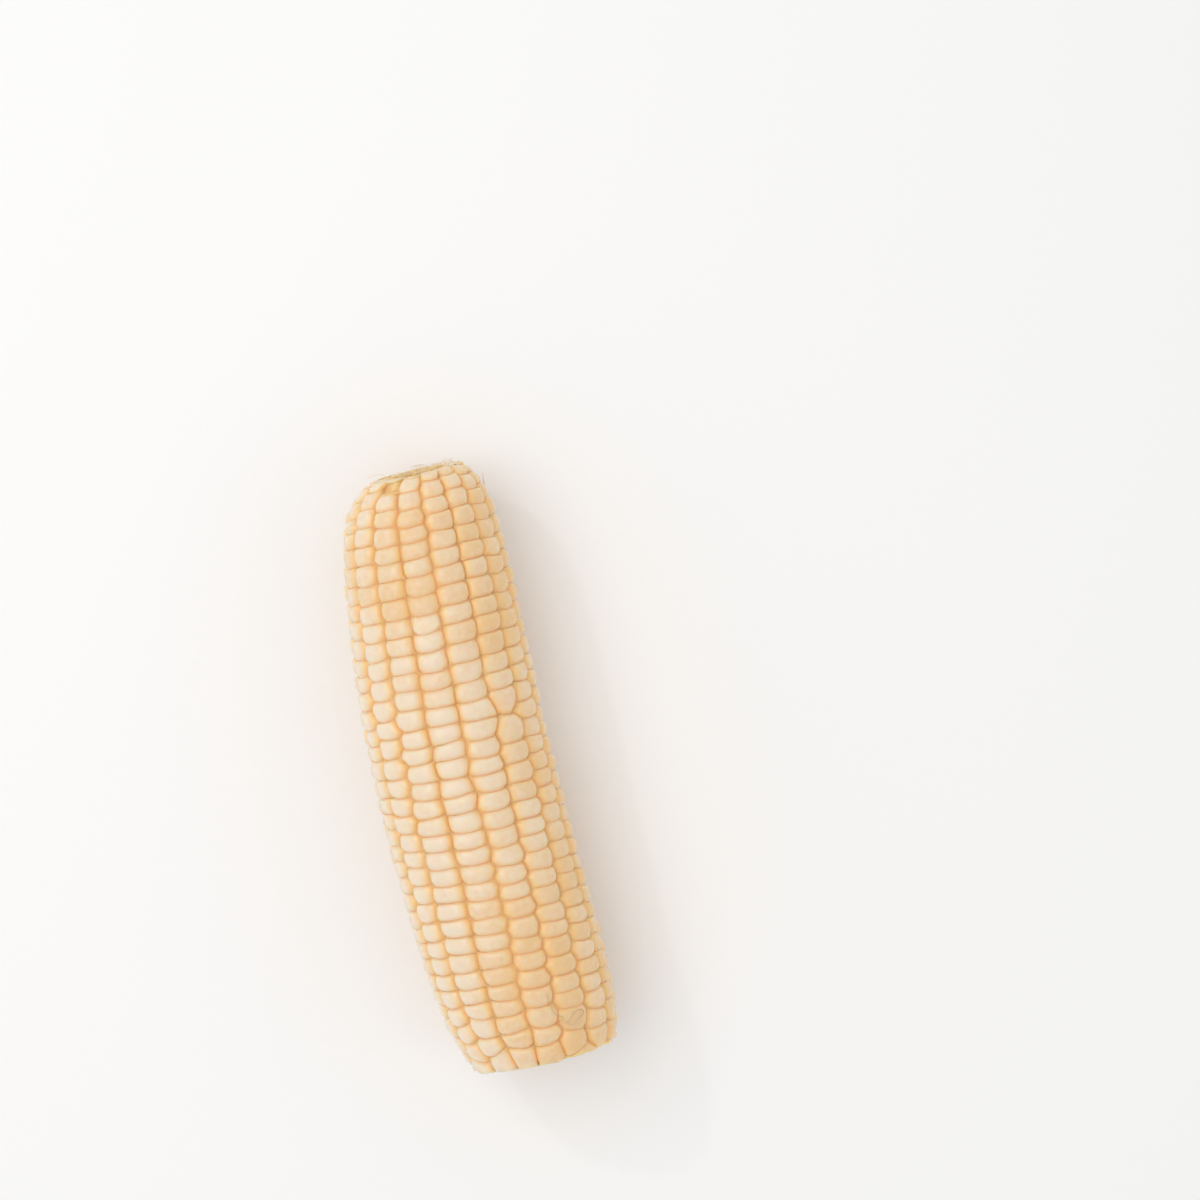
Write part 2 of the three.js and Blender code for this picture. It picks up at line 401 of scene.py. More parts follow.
class Crown:
    """The height of one kernel over its outline."""

    def __init__(self, kernel, kernels, sizes, rise, draw):
        outline = kernel.outline
        self.middle, self.rise, self.corner_radius = kernel.middle, rise, sizes.corner_radius
        self.dome = sizes.crown_dome * (0.5 + draw())
        self.tilt = either(draw, CROWN_TILT), either(draw, CROWN_TILT)
        self.dimple = DIMPLE_DEPTH * draw() if draw() < DIMPLED_SHARE else 0.0
        self.edges = []
        for (x0, y0, other), (x1, y1, _) in zip(outline, outline[1:] + outline[:1]):
            length = max(math.hypot(x1 - x0, y1 - y0), TINY)
            self.edges.append((
                x0, y0, -(y1 - y0) / length, (x1 - x0) / length,
                sizes.groove_between(kernel, kernels[other], other),
            ))
        self.room = [
            max(LEAST_ROOM, (self.middle[0] - x) * nx + (self.middle[1] - y) * ny)
            for x, y, nx, ny, _ in self.edges
        ]

    def height(self, x, y):
        """Height, how far it has dropped from the crown, and the distance to the nearest border."""
        nearest, flat = math.inf, 0.0
        near = groove = width = shoulder = 0.0
        for (ex, ey, nx, ny, shape), room in zip(self.edges, self.room):
            distance = max(0.0, (x - ex) * nx + (y - ey) * ny)
            nearest = min(nearest, distance)
            flat += max(0.0, 1 - distance / room) ** DOME_FLATNESS
            weight = max(0.0, self.corner_radius - distance) ** 2
            near += weight
            groove += weight * shape[0]
            width += weight * shape[1]
            shoulder += (shape[2] * max(0.0, 1 - distance / shape[3]) ** 2) ** SHOULDER_BLEND
        drop = shoulder ** (1 / SHOULDER_BLEND)
        if near > 0:
            # The distance to an outline whose corners are rounded.
            rounded = max(0.0, self.corner_radius - math.sqrt(near))
            drop += groove / near * math.exp(-rounded * near / width)
        dx, dy = x - self.middle[0], y - self.middle[1]
        lift = self.rise + self.tilt[0] * dx + self.tilt[1] * dy + self.dome * (1 - flat ** 0.5)
        lift -= self.dimple * math.exp(-(dx * dx / DIMPLE_SPREAD[0] + dy * dy / DIMPLE_SPREAD[1]))
        return lift * smooth(0.0, LIFT_REACH, nearest) - drop, drop, nearest


class Skin:
    """The grown surface as vertices, faces, and what each carries for the materials."""

    def __init__(self, kernels, sizes, growth):
        self.kernels, self.sizes, self.growth = kernels, sizes, growth
        self.draw = make_random(DETAIL_SEED)
        self.points, self.sunk, self.rim = [], [], []
        self.faces, self.tones, self.uvs = [], [], []
        self.corners, self.corner_places, self.borders = {}, [], {}

    def add_point(self, arc, x, height, sunk, rim):
        """A vertex on the ear, with how far it has sunk and how near a border it is."""
        self.points.append(surface_point(arc, x, height))
        self.sunk.append(sunk)
        self.rim.append(rim)
        return len(self.points) - 1

    def corner(self, own, k):
        """The shared vertex at corner k of a kernel."""
        kernel = self.kernels[own]
        x, y, border = kernel.outline[k]
        key = tuple(sorted((own, kernel.outline[k - 1][2], border)))
        if key not in self.corners:
            arc, around = kernel.y + y, (kernel.x + x) % ROUND
            for vertex, other_arc, other_around in self.corner_places:
                apart = abs(around - other_around)
                if abs(arc - other_arc) < SAME_CORNER and min(apart, ROUND - apart) < SAME_CORNER:
                    break
            else:
                pit = self.sizes.corner_pit
                vertex = self.add_point(arc, around, -pit, pit, 0.0)
                self.corner_places.append((vertex, arc, around))
            self.corners[key] = vertex
        return self.corners[key]

    def border(self, own, k):
        """Border k of a kernel from corner to corner, as (shared vertex, how far it strays inwards)."""
        kernel = self.kernels[own]
        x0, y0, other = kernel.outline[k]
        x1, y1, _ = kernel.outline[(k + 1) % len(kernel.outline)]
        first = self.corner(own, k)
        key = (min(own, other), max(own, other)) if other >= 0 else (own, other, k)
        if key in self.borders:
            start, row = self.borders[key]
            return row if start == first else [(vertex, -stray) for vertex, stray in reversed(row)]
        self.corner(own, (k + 1) % len(kernel.outline))
        length = math.hypot(x1 - x0, y1 - y0)
        nx, ny = -(y1 - y0) / max(length, TINY), (x1 - x0) / max(length, TINY)
        same_row = other < 0 or self.kernels[other].row == kernel.row
        shape = self.sizes.groove_between(kernel, self.kernels[other], other)
        base = shape[0] + shape[2]
        room = min(1.0, length / STRAY_LENGTH)
        arch = either(self.draw, BORDER_WOBBLE) * room
        if same_row:
            arch += (CREASE_ARCH if ny < 0 else -CREASE_ARCH) * room
        ripple = either(self.draw, BORDER_WOBBLE / 2) * room
        row = []
        for share in border_shares(length):
            stray = arch * math.sin(math.pi * share) + ripple * math.sin(2 * math.pi * share)
            px, py = x0 + (x1 - x0) * share + nx * stray, y0 + (y1 - y0) * share + ny * stray
            to_corner = min(share, 1 - share) * length
            depth = base + (self.sizes.corner_pit - base) * math.exp(-to_corner / CORNER_REACH)
            row.append((self.add_point(kernel.y + py, kernel.x + px, -depth, depth, 0.0), stray))
        self.borders[key] = (first, row)
        return row

    def grow_kernel(self, own, rise):
        """One kernel: rings of quads from its border to its middle."""
        kernel = self.kernels[own]
        outline = kernel.outline
        count = len(outline)
        middle_x, middle_y = kernel.middle
        tone = self.draw()
        if kernel.row == TORN_KERNEL[0] and abs(kernel.y - TORN_KERNEL[1]) < TORN_REACH:
            tone = TORN
        if kernel.row == BROKEN_KERNELS[0] and kernel.y > BROKEN_KERNELS[1]:
            tone, rise = BROKEN, -BROKEN_DEPTH
        crown = Crown(kernel, self.kernels, self.sizes, rise, self.draw)

        # Round the border: vertex, place, how far it strays from the straight border, and the room inside.
        rim = []
        for k in range(count):
            x0, y0, _ = outline[k]
            x1, y1, _ = outline[(k + 1) % count]
            _, _, nx, ny, _ = crown.edges[k]
            if self.corner(own, k) == self.corner(own, (k + 1) % count):
                continue
            rim.append((self.corner(own, k), x0, y0, 0.0, 0.0, min(crown.room[k], crown.room[k - 1])))
            length = math.hypot(x1 - x0, y1 - y0)
            for share, (vertex, stray) in zip(border_shares(length), self.border(own, k)):
                x, y = x0 + (x1 - x0) * share, y0 + (y1 - y0) * share
                rim.append((vertex, x, y, nx * stray, ny * stray, crown.room[k]))

        around = len(rim)
        rooms = [room for *_, room in rim]
        for _ in range(ROOM_SMOOTHING):
            rooms = [(rooms[k - 1] + 2 * rooms[k] + rooms[(k + 1) % around]) / 4 for k in range(around)]
        lines = [[(vertex, x + sx, y + sy) for vertex, x, y, sx, sy, _ in rim]]
        for ring in range(len(RING_DEPTHS) + INNER_RINGS):
            line = []
            for (_, x, y, sx, sy, _), room in zip(rim, rooms):
                if ring < len(RING_DEPTHS):
                    depth = min(RING_DEPTHS[ring], room * RING_SHARE * (ring + 1))
                else:
                    outer = min(RING_DEPTHS[-1], room * RING_SHARE * len(RING_DEPTHS))
                    depth = outer * (room / outer) ** ((ring - len(RING_DEPTHS) + 1) / (INNER_RINGS + 1))
                share = depth / room
                keep = (1 - share) ** 2
                straight_x, straight_y = x + (middle_x - x) * share, y + (middle_y - y) * share
                height, drop, nearest = crown.height(straight_x, straight_y)
                at_x, at_y = straight_x + sx * keep, straight_y + sy * keep
                vertex = self.add_point(kernel.y + at_y, kernel.x + at_x, height, drop, nearest)
                line.append((vertex, at_x, at_y))
            lines.append(line)
        height, drop, nearest = crown.height(middle_x, middle_y)
        middle = self.add_point(kernel.y + middle_y, kernel.x + middle_x, height, drop, nearest)

        for outer, inner in zip(lines, lines[1:]):
            for k in range(around):
                n = (k + 1) % around
                self.add_face(kernel, tone, outer[k], outer[n], inner[n], inner[k])
        for k in range(around):
            last = lines[-1][k], lines[-1][(k + 1) % around]
            self.add_face(kernel, tone, *last, (middle, middle_x, middle_y))

    def add_face(self, kernel, tone, *corners):
        """A face from (vertex, x, y) corners, with its kernel's tone and its place in that kernel."""
        self.faces.append([vertex for vertex, _, _ in corners])
        self.tones.append(tone)
        self.uvs.extend((x - kernel.middle[0], y - kernel.middle[1]) for _, x, y in corners)

    def close_ends(self):
        """Fans that close the far ends, past both cuts."""
        for name, (y, _) in ((BUTT_END, PROFILE[0]), (TIP_END, PROFILE[-1])):
            self.points.append((centre_line(y), y, 0.0))
            self.sunk.append(0.0)
            self.rim.append(0.0)
            middle = len(self.points) - 1
            for own, kernel in enumerate(self.kernels):
                for k, (_, _, border) in enumerate(kernel.outline):
                    if border != name:
                        continue
                    row = self.border(own, k)
                    chain = [self.corner(own, k), *[v for v, _ in row]]
                    chain.append(self.corner(own, (k + 1) % len(kernel.outline)))
                    for a, b in zip(chain, chain[1:]):
                        self.faces.append([b, a, middle])
                        self.tones.append(PLAIN_TONE)
                        self.uvs.extend([(0.0, 0.0)] * 3)

    def grow(self):
        """All kernels, each a little higher or lower than the next, and the closed ends."""
        for own in range(len(self.kernels)):
            self.grow_kernel(own, either(self.growth, CROWN_SPREAD))
        self.close_ends()


def grown_ear(sizes):
    """The ear's mesh as it grew, in millimetres, before it is trimmed."""
    growth = make_random(GROWTH_SEED)
    kernels = plant_kernels(growth)
    outline_kernels(kernels)
    skin = Skin(kernels, sizes, growth)
    skin.grow()
    mesh = bpy.data.meshes.new("corn_kernels")
    mesh.from_pydata(skin.points, [], skin.faces)
    whole = [1.0] * len(skin.points)
    for name, values in (("sunk", skin.sunk), ("rim", skin.rim), ("share", whole), ("tone", skin.tones)):
        domain = "FACE" if name == "tone" else "POINT"
        mesh.attributes.new(name, "FLOAT", domain).data.foreach_set("value", values)
    layer = mesh.uv_layers.new(name="kernel")
    layer.uv.foreach_set("vector", [c for uv in skin.uvs for c in uv])
    return mesh


# ---- The two cuts ----

TIP_ZONES = (0.34, 0.47, 0.58)  # share of the radius where pith, woody ring and chaff end
BUTT_ZONES = (0.36, 0.52, 0.61)
PAINTED_ZONES = (0.4, 0.55, 0.66)  # where the material has them
CUT_RINGS = (0.985, 0.96, 0.92, 0.87, 0.81, 0.75, 0.7, 0.66, 0.63, 0.605, 0.58, 0.555, 0.53, 0.505,
             0.48, 0.45, 0.41, 0.36, 0.3, 0.23, 0.15, 0.07)
# Relief of the cut faces, in millimetres: each part's level, its coarse grain and its fine grain.
KNIFE_SWELLS = ((0.28, 0.45), (0.12, 1.6))  # height, and lumps a millimetre
CUT_GRAIN, CUT_FINE_GRAIN, CHAFF_GRAIN = 1.3, 3.7, 0.9
PITH_RELIEF = (-0.75, 0.3, 0.22)
WOOD_RELIEF = (0.15, 0.16, 0.12)
CHAFF_RELIEF = (-0.3, 0.75, 0.45)
KERNEL_GRAIN = 0.12
WOOD_BUNDLES = 46
SLIT_DEPTH, SLIT_WIDTH = 1.5, 0.22  # between two cut kernels
FLAT_RIM = 0.97  # from this share of the radius on, the relief fades out
HUB_RIM = 2.0  # the middle counts as this far from a kernel's border


def ragged(place):
    """How unevenly the knife leaves a cut, in millimetres."""
    return sum(height * noise.noise(place * pace) for height, pace in KNIFE_SWELLS)


def cut_relief(share, place, slit, zones):
    """How far the cut face stands out, in millimetres, at a share of the radius."""
    pith, wood, chaff = zones
    grain, fine = noise.noise(place * CUT_GRAIN), noise.noise(place * CUT_FINE_GRAIN)
    in_kernel = smooth(chaff - 0.02, chaff + 0.025, share)
    in_pith = 1 - smooth(pith - 0.05, pith + 0.03, share)
    in_chaff = smooth(wood - 0.02, wood + 0.02, share) * (1 - in_kernel)
    in_wood = max(0.0, 1 - in_kernel - in_pith - in_chaff)
    bundles = math.sin(WOOD_BUNDLES * math.atan2(place.x, place.z))
    relief = in_kernel * (KERNEL_GRAIN * grain - SLIT_DEPTH * slit)
    for amount, pattern, (level, coarse, detail) in (
        (in_pith, grain, PITH_RELIEF),
        (in_chaff, noise.noise(place * CHAFF_GRAIN), CHAFF_RELIEF),
        (in_wood, bundles, WOOD_RELIEF),
    ):
        relief += amount * (level + coarse * pattern + detail * fine)
    return ragged(place) + relief * smooth(1.0, FLAT_RIM, share)


def chain_loop(edges):
    """The vertices of one closed loop of edges, in order, each with the edge that leaves it."""
    links = {}
    for edge in edges:
        for vert in edge.verts:
            links.setdefault(vert, []).append(edge)
    start = max(links, key=lambda v: v.co.x)
    chain, vert, edge = [], start, links[start][0]
    while True:
        chain.append((vert, edge))
        vert = edge.other_vert(vert)
        edge = next(e for e in links[vert] if e is not edge)
        if vert is start:
            return chain


def cap_cut(bm, centre, normal, zones):
    """Closes the open loop of a cut with rings of faces, and shapes pith, wood, chaff and kernels."""
    painted = ((0.0, 0.0), *zip(zones, PAINTED_ZONES), (1.0, 1.0))
    layers = bm.verts.layers.float
    sunk, rim, share_of = layers["sunk"], layers["rim"], layers["share"]
    tone = bm.faces.layers.float["tone"]
    uv = bm.loops.layers.uv["kernel"]
    open_edges = [e for e in bm.edges if e.is_boundary]
    chain = chain_loop(open_edges)
    if len(chain) != len(open_edges):
        raise RuntimeError("the cut's rim isn't one closed loop")
    across, tones, rims = [], [], []
    for vert, edge in chain:
        face = edge.link_faces[0]
        at = {loop.vert: loop[uv].uv.x for loop in face.loops}
        across.append((at[vert], at[edge.other_vert(vert)]))
        tones.append(face[tone])
        rims.append(vert[rim])
    outer = [vert for vert, _ in chain]
    count = len(outer)
    spokes = [vert.co - centre for vert in outer]
    for vert in outer:
        vert.co += normal * ragged(vert.co)
    previous, previous_share = outer, 1.0
    for share in CUT_RINGS:
        ring = []
        for k in range(count):
            vert = bm.verts.new(centre + spokes[k] * share)
            slit = math.exp(-rims[k] / SLIT_WIDTH)
            vert.co += normal * cut_relief(share, vert.co - centre, slit, zones)
            vert[sunk], vert[rim], vert[share_of] = 0.0, rims[k], between(painted, share)
            ring.append(vert)
        for k in range(count):
            n = (k + 1) % count
            face = bm.faces.new((previous[k], previous[n], ring[n], ring[k]))
            face[tone], face.material_index, face.smooth = tones[k], 1, True
            for loop, place in zip(face.loops, (
                (across[k][0], previous_share), (across[k][1], previous_share),
                (across[k][1], share), (across[k][0], share),
            )):
                loop[uv].uv = place
        previous, previous_share = ring, share
    hub = bm.verts.new(centre + normal * cut_relief(0.0, Vector((0.0, 0.0, 0.0)), 0.0, zones))
    hub[share_of], hub[rim] = 0.0, HUB_RIM
    for k in range(count):
        face = bm.faces.new((previous[k], previous[(k + 1) % count], hub))
        face[tone], face.material_index, face.smooth = PLAIN_TONE, 1, True
    bmesh.ops.recalc_face_normals(bm, faces=bm.faces)


def cut_off(obj, point, normal, zones):
    """Cuts off what lies past a plane and finishes the cut face."""
    bpy.ops.object.mode_set(mode="EDIT")
    bpy.ops.mesh.select_all(action="SELECT")
    bpy.ops.mesh.bisect(plane_co=point, plane_no=normal, clear_outer=True)
    bpy.ops.object.mode_set(mode="OBJECT")
    bm = bmesh.new()
    bm.from_mesh(obj.data)
    cap_cut(bm, Vector(point), Vector(normal), zones)
    bm.to_mesh(obj.data)
    bm.free()


LAID = Matrix.Rotation(-math.radians(REST_NOD), 4, "X") @ Matrix.Translation((0, -EAR_LENGTH / 2, 0))


def lay_down(mesh):
    """Lays the ear on its flat spot, where its solid lies, in metres."""
    mesh.transform(LAID)
    xs = [v.co.x for v in mesh.vertices]
    ys = [v.co.y for v in mesh.vertices]
    middle = (EAR_BOX[0] + EAR_BOX[1]) / 2 / MM
    move = Vector((
        middle.x - (min(xs) + max(xs)) / 2,
        middle.y - (min(ys) + max(ys)) / 2,
        BELLY_RADIUS - FLAT_SPOT_DEPTH,
    ))
    for v in mesh.vertices:
        v.co += move
        v.co.z = max(v.co.z, 0.0)
    mesh.transform(Matrix.Scale(MM, 4))


# ---- Silk ----

SILK_SEED = 77
LAID_SHIFT = Vector((3.13, 0.25, BELLY_RADIUS - FLAT_SPOT_DEPTH))  # about how far lay_down moves the ear
SILK_CURL = (  # two ends of one thread, as (distance from the butt's cut, degrees from the top)
    ((19.2, 16.8), (16.4, 17.0), (13.8, 18.1), (12.5, 19.6), (11.7, 22.2), (11.2, 23.9), (10.6, 23.4),
     (10.5, 21.0), (9.9, 18.0)),
    ((10.3, 21.6), (9.7, 24.4), (10.0, 27.5), (11.2, 30.8), (12.0, 35.2), (11.6, 39.0), (10.5, 38.6),
     (9.6, 33.9), (8.6, 31.8), (8.5, 28.6), (9.0, 26.4), (10.2, 25.2)),
)
SILK_IN_GROOVES = (  # row before the groove, and where a thread starts and ends along the ear
    (4, 158.0, 128.0), (5, 141.0, 118.0), (9, 157.0, 112.0), (10, 150.0, 131.0), (11, 84.0, 64.0),
    (6, 44.0, 19.0), (10, 33.0, 9.0),
)
FRINGE_COUNT = 16  # fine hairs in the chaff at the tip's cut
THREAD_SEAM = 1e-6  # metres: a thread's end caps are merged with its side
THREAD_STEPS = 5  # points from one place of a thread to the next
SEARCH_START = 0.04  # metres from the axis: from here inwards the skin is looked for
CURL_TENSION, GROOVE_TENSION = 14, 40
GROOVE_STEP = 6  # from one place of a thread in a groove to the next
GROOVE_SWAY = (3.0, 1.3)  # degrees, and how much of a wave from one place to the next
GROOVE_STRAY = (2.2, 0.8)  # degrees round the ear, millimetres along it
HAIR_POINTS = 8
HAIR_ROOTS = (0.5, 0.4)  # share of the radius where hairs start, and the width of that band
HAIR_TURN, HAIR_LEAN = 1.3, 0.8
THREAD_END = (0.35, 5)  # share of its thickness at a thread's end, and how fast that grows


def glide(points, step_count):
    """Points on a smooth curve through the given ones."""
    ends = [points[0], *points, points[-1]]
    path = []
    for four in zip(ends, ends[1:], ends[2:], ends[3:]):
        for step in range(step_count):
            t = step / step_count
            path.append(tuple(
                b + t * ((c - a) / 2 + t * (a - 2.5 * b + 2 * c - d / 2 + t * (1.5 * (b - c) + (d - a) / 2)))
                for a, b, c, d in zip(*four)
            ))
    return [*path, points[-1]]


def laid_point(x, y, z):
    """A point of the grown ear, in millimetres, where it lies, in metres."""
    return (LAID @ Vector((x, y, z)) + LAID_SHIFT) * MM


def thread_on_ear(skin, places, tension):
    """A thread laid through (y, degrees) places. Tension lifts it out of the grooves that it spans."""
    axis, out, reach = [], [], []
    for y, degrees in glide(places, THREAD_STEPS):
        angle = math.radians(degrees)
        centre = laid_point(centre_line(y), y, 0.0)
        outward = (laid_point(centre_line(y) + math.sin(angle), y, math.cos(angle)) - centre).normalized()
        hit = skin.ray_cast(centre + outward * SEARCH_START, -outward)[0]
        axis.append(centre)
        out.append(outward)
        reach.append((hit - centre).length)
    for _ in range(tension):
        reach = [
            max(here, (before + after) / 2)
            for before, here, after in zip([reach[0], *reach], reach, [*reach[1:], reach[-1]])
        ]
    return [centre + outward * r for centre, outward, r in zip(axis, out, reach)]


def groove_places(draw, row, start, end):
    """A loose way along the groove after a row."""
    count = max(3, int(abs(start - end) / GROOVE_STEP))
    places = []
    for k in range(count + 1):
        y = start + (end - start) * k / count
        stray = either(draw, GROOVE_STRAY[0]) + GROOVE_SWAY[0] * math.sin(k * GROOVE_SWAY[1] + row)
        degrees = (row + 0.5) * 360 / ROWS + between(FIRST_ROW, y) + stray
        places.append((y + either(draw, GROOVE_STRAY[1]), degrees))
    return places


def fringe_hair(draw, length):
    """One fine hair that stands out of the chaff at the tip's cut and curls over."""
    angle = draw() * 2 * math.pi
    share = HAIR_ROOTS[0] + HAIR_ROOTS[1] * draw()
    radius = ear_radius(EAR_LENGTH) * share
    turn, lean = either(draw, HAIR_TURN), either(draw, HAIR_LEAN)
    length *= 0.4 + 0.9 * draw() ** 2
    hair = []
    for k in range(HAIR_POINTS):
        t = k / (HAIR_POINTS - 1)
        around = angle + turn * t * t * 0.5 + lean * t * 0.12
        r = radius + length * 0.75 * t * t * (0.4 + abs(lean))
        rise = -0.6 + length * (t - 0.55 * t * t * (0.6 + abs(turn) * 0.5))
        y = EAR_LENGTH + rise - math.cos(around) * r * math.tan(math.radians(TIP_CUT_TILT))
        hair.append(laid_point(centre_line(EAR_LENGTH) + r * math.sin(around), y, r * math.cos(around)))
    return hair


def add_threads(curve, paths, width):
    """Adds a spline for each path, thinner towards both ends."""
    for path in paths:
        spline = curve.splines.new("POLY")
        spline.points.add(len(path) - 1)
        for k, (point, place) in enumerate(zip(spline.points, path)):
            end = min(k, len(path) - 1 - k) / max(1, len(path) - 1)
            point.co = (*place, 1.0)
            point.radius = width * min(1.0, THREAD_END[0] + THREAD_END[1] * end)


# ---- Materials ----

# How far apart the lumps of each pattern are, in millimetres.
RIPENESS = 31.0  # patches of riper kernels, six kernels long
STARCH = 1.55  # the grains are some 0.02 mm, too fine to show, so they are drawn as clumps
SKIN_WAVES = 2.4  # the skin's swells, and how it tears
SKIN_PORES = 0.38  # too fine to show at their real 0.05 mm, so drawn coarser
COB_FIBRES = 1.1  # drawn twice as coarse as they are, so that they show
COB_TEARS = 2.6
SILK_STREAKS = 3.8
BOARD_PAINT = 25.0


def lumps(millimetres):
    """The scale of a noise whose lumps are this far apart."""
    return 1 / (millimetres * MM)


def add_node(tree, kind, inputs=None, stops=None, output=0, **settings):
    """Adds a node and gives one of its outputs. Its inputs are values or links, by name or in order.

    In order, a MapRange takes the value, what it runs from and to, and what that becomes.
    """
    node = tree.nodes.new("ShaderNode" + kind)
    for name, value in settings.items():
        setattr(node, name, value)
    for k, (place, shade) in enumerate(stops or ()):
        ramp = node.color_ramp.elements
        stop = ramp[k] if k < 2 else ramp.new(place)
        stop.position, stop.color = place, (shade,) * 3 + (1.0,) if isinstance(shade, float) else shade
    for name, value in inputs.items() if isinstance(inputs, dict) else enumerate(inputs or ()):
        if isinstance(value, bpy.types.NodeSocket):
            tree.links.new(value, node.inputs[name])
        else:
            node.inputs[name].default_value = value
    return node.outputs[output] if node.outputs else None


def new_material(name):
    """An empty node material, and what adds a node to it."""
    material = bpy.data.materials.new(name)
    material.use_nodes = True
    material.node_tree.nodes.clear()
    return material, partial(add_node, material.node_tree)


def waxy_pericarp(look):
    """A kernel's skin: thin waxy pericarp over milky starch, cooked and still moist.

    It looks cream where the starch is thick and gold where it thins at the shoulders, partly as painted
    glow; the orange in the grooves is painted shade and glow between two kernels. The crowns are paler
    towards -x as painted haze and more golden towards +x as painted shade.
    """
    material, add = new_material("waxy_pericarp")
    place = add("TexCoord", output="Object")
    tone, sunk = [add("Attribute", output="Fac", attribute_name=name) for name in ("tone", "sunk")]
    patches, starch, tear, waves, pores = [
        add("TexNoise", {"Vector": place, "Scale": lumps(apart), "Detail": detail})
        for apart, detail in (
            (RIPENESS, 1.0), (STARCH, 3.0), (SKIN_WAVES, 2.0), (SKIN_WAVES, 3.0), (SKIN_PORES, 2.0),
        )
    ]
    # Painted haze and shade: the crowns turn paler towards -x and more golden towards +x.
    side = add("SeparateXYZ", (place,))
    blend = add("MapRange", (side, -0.02, 0.022, -0.56, 0.28))
    for ranges in (
        (tone, 0.0, 1.0, -0.2, 0.2), (patches, 0.3, 0.7, 0.1, 0.9), (starch, 0.3, 0.7, -0.2, 0.2),
    ):
        blend = add("Math", (blend, add("MapRange", ranges)), operation="ADD")
    # Painted shade and glow: by how far the skin has sunk from its crown, gold at the shoulders and orange
    # in the grooves.
    depth = add("MapRange", (sunk, 0.0, 2.0))
    crown, flank_gold_and_painted_shade, weight = [
        add("ValToRGB", {"Fac": source}, stops) for source, stops in (
            (blend, ((0.0, look.crown_pale_and_painted_haze), (1.0, look.crown_gold_and_painted_shade))),
            (depth, ((0.0, look.shoulder), (0.35, look.groove), (0.75, look.deep_groove_painted_shade))),
            (depth, ((0.03, 0.0), (0.22, 0.42), (0.6, 1.0))),
        )
    ]

    # Where the skin is torn off, out to a ragged edge, dry chalky starch shows.
    in_kernel = add("UVMap", uv_map="kernel")
    in_kernel = add("VectorMath", (in_kernel, (0.46, 0.8, 0.0)), operation="MULTIPLY")
    off_middle = add("VectorMath", (in_kernel,), output="Value", operation="LENGTH")
    edge = add("Math", (tear, 3.2, off_middle), operation="MULTIPLY_ADD")
    inside = add("MapRange", (edge, 3.2, 3.6, 1.0, 0.0))
    is_torn, broken = [add("Math", (tone, mark, 0.1), operation="COMPARE") for mark in (TORN, BROKEN)]
    torn = add("Math", (inside, is_torn), operation="MULTIPLY")

    # Where a kernel is broken off, rough golden chaff shows.
    chaff = add("ValToRGB", {"Fac": tear}, ((0.3, linear("#E6B168")), (0.7, linear("#FADDA8"))))
    colour = crown
    for share, shown in ((weight, flank_gold_and_painted_shade), (torn, look.torn_starch), (broken, chaff)):
        colour = add("Mix", {"Factor": share, 6: colour, 7: shown}, output=2, data_type="RGBA")

    rough = add("MapRange", (starch, 0.3, 0.7, 0.28, 0.42))
    bare = add("Math", (torn, broken), operation="ADD")
    rough = add("Math", (bare, 0.4, rough), operation="MULTIPLY_ADD")
    swell = add("Math", (bare, 3.0, 1.0), operation="MULTIPLY_ADD")
    waves = add("Math", (waves, swell), operation="MULTIPLY")
    bump = add("Bump", {"Height": waves, "Strength": 0.3, "Distance": 0.0004})
    bump = add("Bump", {"Height": pores, "Strength": 0.2, "Distance": 0.00006, "Normal": bump})
    shader = add("BsdfPrincipled", {
        "Base Color": colour, "Roughness": rough, "IOR": 1.4, "Normal": bump,
        "Subsurface Weight": 0.9, "Subsurface Radius": (1.0, 0.64, 0.32), "Subsurface Scale": 0.0034,
        "Coat Weight": 0.45, "Coat Roughness": 0.08,
    })
    add("OutputMaterial", {"Surface": shader})
    return material


def sawn_cob(look):
    """What a knife leaves: spongy white pith, a tan woody ring of fine bundles, ragged tan chaff, and
    kernels cut through, milky inside with a thin golden skin."""
    material, add = new_material("sawn_cob")
    place = add("TexCoord", output="Object")
    share, rim = [add("Attribute", output="Fac", attribute_name=name) for name in ("share", "rim")]
    fibre, tear = [
        add("TexNoise", {"Vector": place, "Scale": lumps(apart), "Detail": detail})
        for apart, detail in ((COB_FIBRES, 4.0), (COB_TEARS, 1.5))
    ]
    shift = add("MapRange", (tear, 0.0, 1.0, -0.06, 0.06))
    ragged_share = add("Math", (share, shift), operation="ADD")
    zones = add("ValToRGB", {"Fac": ragged_share}, (
        (0.37, look.pith), (0.42, look.wood), (0.54, look.wood), (0.565, look.chaff), (0.64, look.chaff),
        (0.675, look.shoulder), (0.76, look.flesh), (0.965, look.flesh), (0.985, look.skin),
    ))
    slit = add("MapRange", (rim, 0.0, 0.3, 1.0, 0.0))
    in_kernel = add("MapRange", (share, 0.62, 0.68))
    slit = add("Math", (slit, in_kernel), operation="MULTIPLY")
    colour = add("Mix", {"Factor": slit, 6: zones, 7: look.skin}, output=2, data_type="RGBA")
    mottle = add("MapRange", (fibre, 0.3, 0.7, 0.9, 1.05))
    colour = add("VectorMath", {0: colour, "Scale": mottle}, operation="SCALE")
    bump = add("Bump", {"Height": fibre, "Strength": 0.6, "Distance": 0.0004})
    shader = add("BsdfPrincipled", {
        "Base Color": colour, "Roughness": 0.6, "IOR": 1.4, "Normal": bump,
        "Subsurface Weight": 0.6, "Subsurface Radius": (1.0, 0.6, 0.35), "Subsurface Scale": 0.002,
    })
    add("OutputMaterial", {"Surface": shader})
    return material


